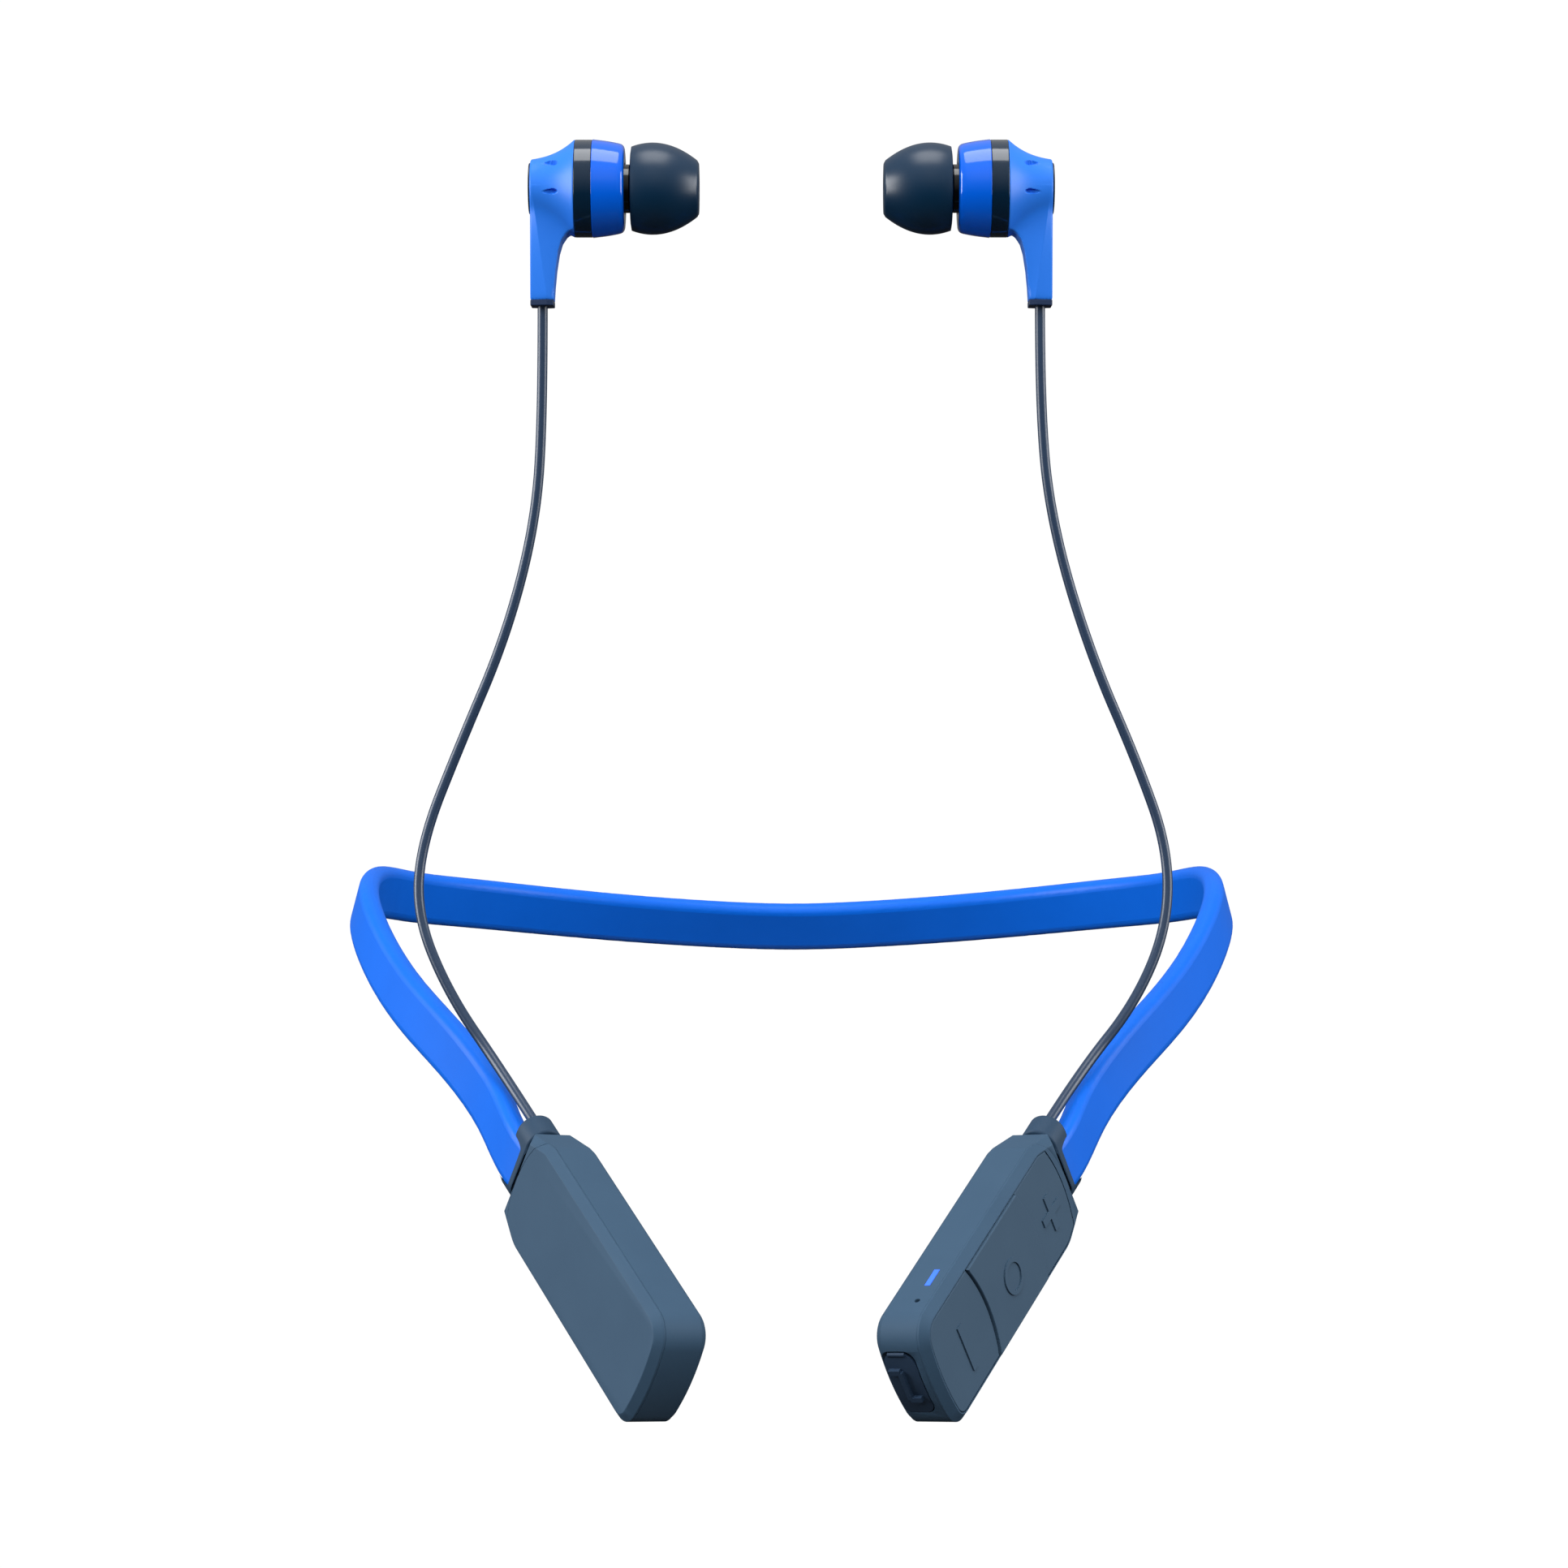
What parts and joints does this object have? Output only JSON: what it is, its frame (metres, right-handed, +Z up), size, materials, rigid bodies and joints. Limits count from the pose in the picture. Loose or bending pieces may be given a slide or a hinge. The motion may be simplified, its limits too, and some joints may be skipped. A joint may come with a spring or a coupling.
{
  "type": "neckband earphones",
  "caption": "Flexible neckband strap with a battery housing and a control housing at its ends and an earbud on a cord from each, in the pose in which they are worn.",
  "frame": {"origin": "middle of the strap's inner face at the nape of the neck", "axes": "+X towards the control housing, +Y backwards, +Z up, in the pose in which they are worn"},
  "size_m": [0.1286, 0.1499, 0.1678],
  "materials": {
    "strap_rubber": "satin soft-touch silicone",
    "spring_steel": "drawn spring wire",
    "wiring_jacket": "extruded PVC",
    "housing_soft_touch": "soft-touch lacquer",
    "key_soft_touch": "soft-touch silicone",
    "switch_plunger": "moulded",
    "collar_rubber": "moulded rubber",
    "port_cover_rubber": "moulded rubber",
    "battery_foil": "laminate foil",
    "circuit_board": "solder mask",
    "chip_package": "epoxy",
    "switch_metal": "stamped",
    "receptacle_steel": "stamped",
    "contact_plastic": "moulded",
    "light_pipe": "tinted clear",
    "status_light": "diffused",
    "microphone_can": "plated",
    "cord_jacket": "satin elastomer",
    "earbud_matte_blue": "fine matte",
    "earbud_gloss_blue": "polished",
    "accent_gloss_navy": "polished",
    "badge_navy": "satin",
    "stem_cap_rubber": "moulded rubber",
    "nozzle_black": "moulded",
    "screen_steel": "woven mesh",
    "eartip_silicone": "satin silicone",
    "driver_can": "stamped",
    "driver_magnet": "plated",
    "coil_copper": "wound wire",
    "driver_diaphragm": "film"
  },
  "bodies": {
    "neckband": {"battery_back_shell": "housing_soft_touch", "battery_cell": "battery_foil", "battery_front_cover": "housing_soft_touch", "battery_protection_board": "circuit_board", "bluetooth_module": "chip_package", "circuit_board": "circuit_board", "control_back_shell": "housing_soft_touch", "control_front_cover": "housing_soft_touch", "led_light_pipe": "light_pipe", "left_cord": "cord_jacket", "left_driver_diaphragm": "driver_diaphragm", "left_driver_frame": "driver_can", "left_driver_magnet": "driver_magnet", "left_earbud_accent_ring": "accent_gloss_navy", "left_earbud_badge": "badge_navy", "left_earbud_front_shell": "earbud_gloss_blue", "left_earbud_nozzle": "nozzle_black", "left_earbud_rear_shell": "earbud_matte_blue", "left_earbud_stem_cap": "stem_cap_rubber", "left_end_collar": "collar_rubber", "left_nozzle_screen": "screen_steel", "left_voice_coil": "coil_copper", "microphone": "microphone_can", "neckband_strap": "strap_rubber", "right_cord": "cord_jacket", "right_driver_diaphragm": "driver_diaphragm", "right_driver_frame": "driver_can", "right_driver_magnet": "driver_magnet", "right_earbud_accent_ring": "accent_gloss_navy", "right_earbud_badge": "badge_navy", "right_earbud_front_shell": "earbud_gloss_blue", "right_earbud_nozzle": "nozzle_black", "right_earbud_rear_shell": "earbud_matte_blue", "right_earbud_stem_cap": "stem_cap_rubber", "right_end_collar": "collar_rubber", "right_nozzle_screen": "screen_steel", "right_voice_coil": "coil_copper", "status_led": "status_light", "strap_core_wire": "spring_steel", "strap_wiring": "wiring_jacket", "tact_switches": "switch_metal", "usb_contact_tongue": "contact_plastic", "usb_receptacle": "receptacle_steel"},
    "plus_key_body": {"plus_key": "key_soft_touch", "plus_plunger": "switch_plunger"},
    "play_key_body": {"play_key": "key_soft_touch", "play_plunger": "switch_plunger"},
    "minus_key_body": {"minus_key": "key_soft_touch", "minus_plunger": "switch_plunger"},
    "port_cover_body": {"port_cover": "port_cover_rubber"},
    "left_eartip_body": {"left_eartip": "eartip_silicone"},
    "right_eartip_body": {"right_eartip": "eartip_silicone"}
  },
  "joints": [
    {"name": "plus_key_press", "type": "slide", "parent": "neckband", "child": "plus_key_body", "axis": [-0.8402, 0.5372, -0.0739], "range_m": [0, 0.00035], "stiffness_N_per_m": 4500},
    {"name": "play_key_press", "type": "slide", "parent": "neckband", "child": "play_key_body", "axis": [-0.8402, 0.5372, -0.0739], "range_m": [0, 0.00035], "stiffness_N_per_m": 4500},
    {"name": "minus_key_press", "type": "slide", "parent": "neckband", "child": "minus_key_body", "axis": [-0.8402, 0.5372, -0.0739], "range_m": [0, 0.00035], "stiffness_N_per_m": 4500},
    {"name": "port_cover_hinge", "type": "hinge", "parent": "neckband", "child": "port_cover_body", "pos_m": [0.01298, -0.14308, -0.04785], "axis": [-0.8402, 0.5372, -0.0739], "range_deg": [0, 100]},
    {"name": "left_eartip_pull", "type": "slide", "parent": "neckband", "child": "left_eartip_body", "axis": [1, 0, 0], "range_m": [0, 0.008]},
    {"name": "right_eartip_pull", "type": "slide", "parent": "neckband", "child": "right_eartip_body", "axis": [-1, 0, 0], "range_m": [0, 0.008]}
  ]
}
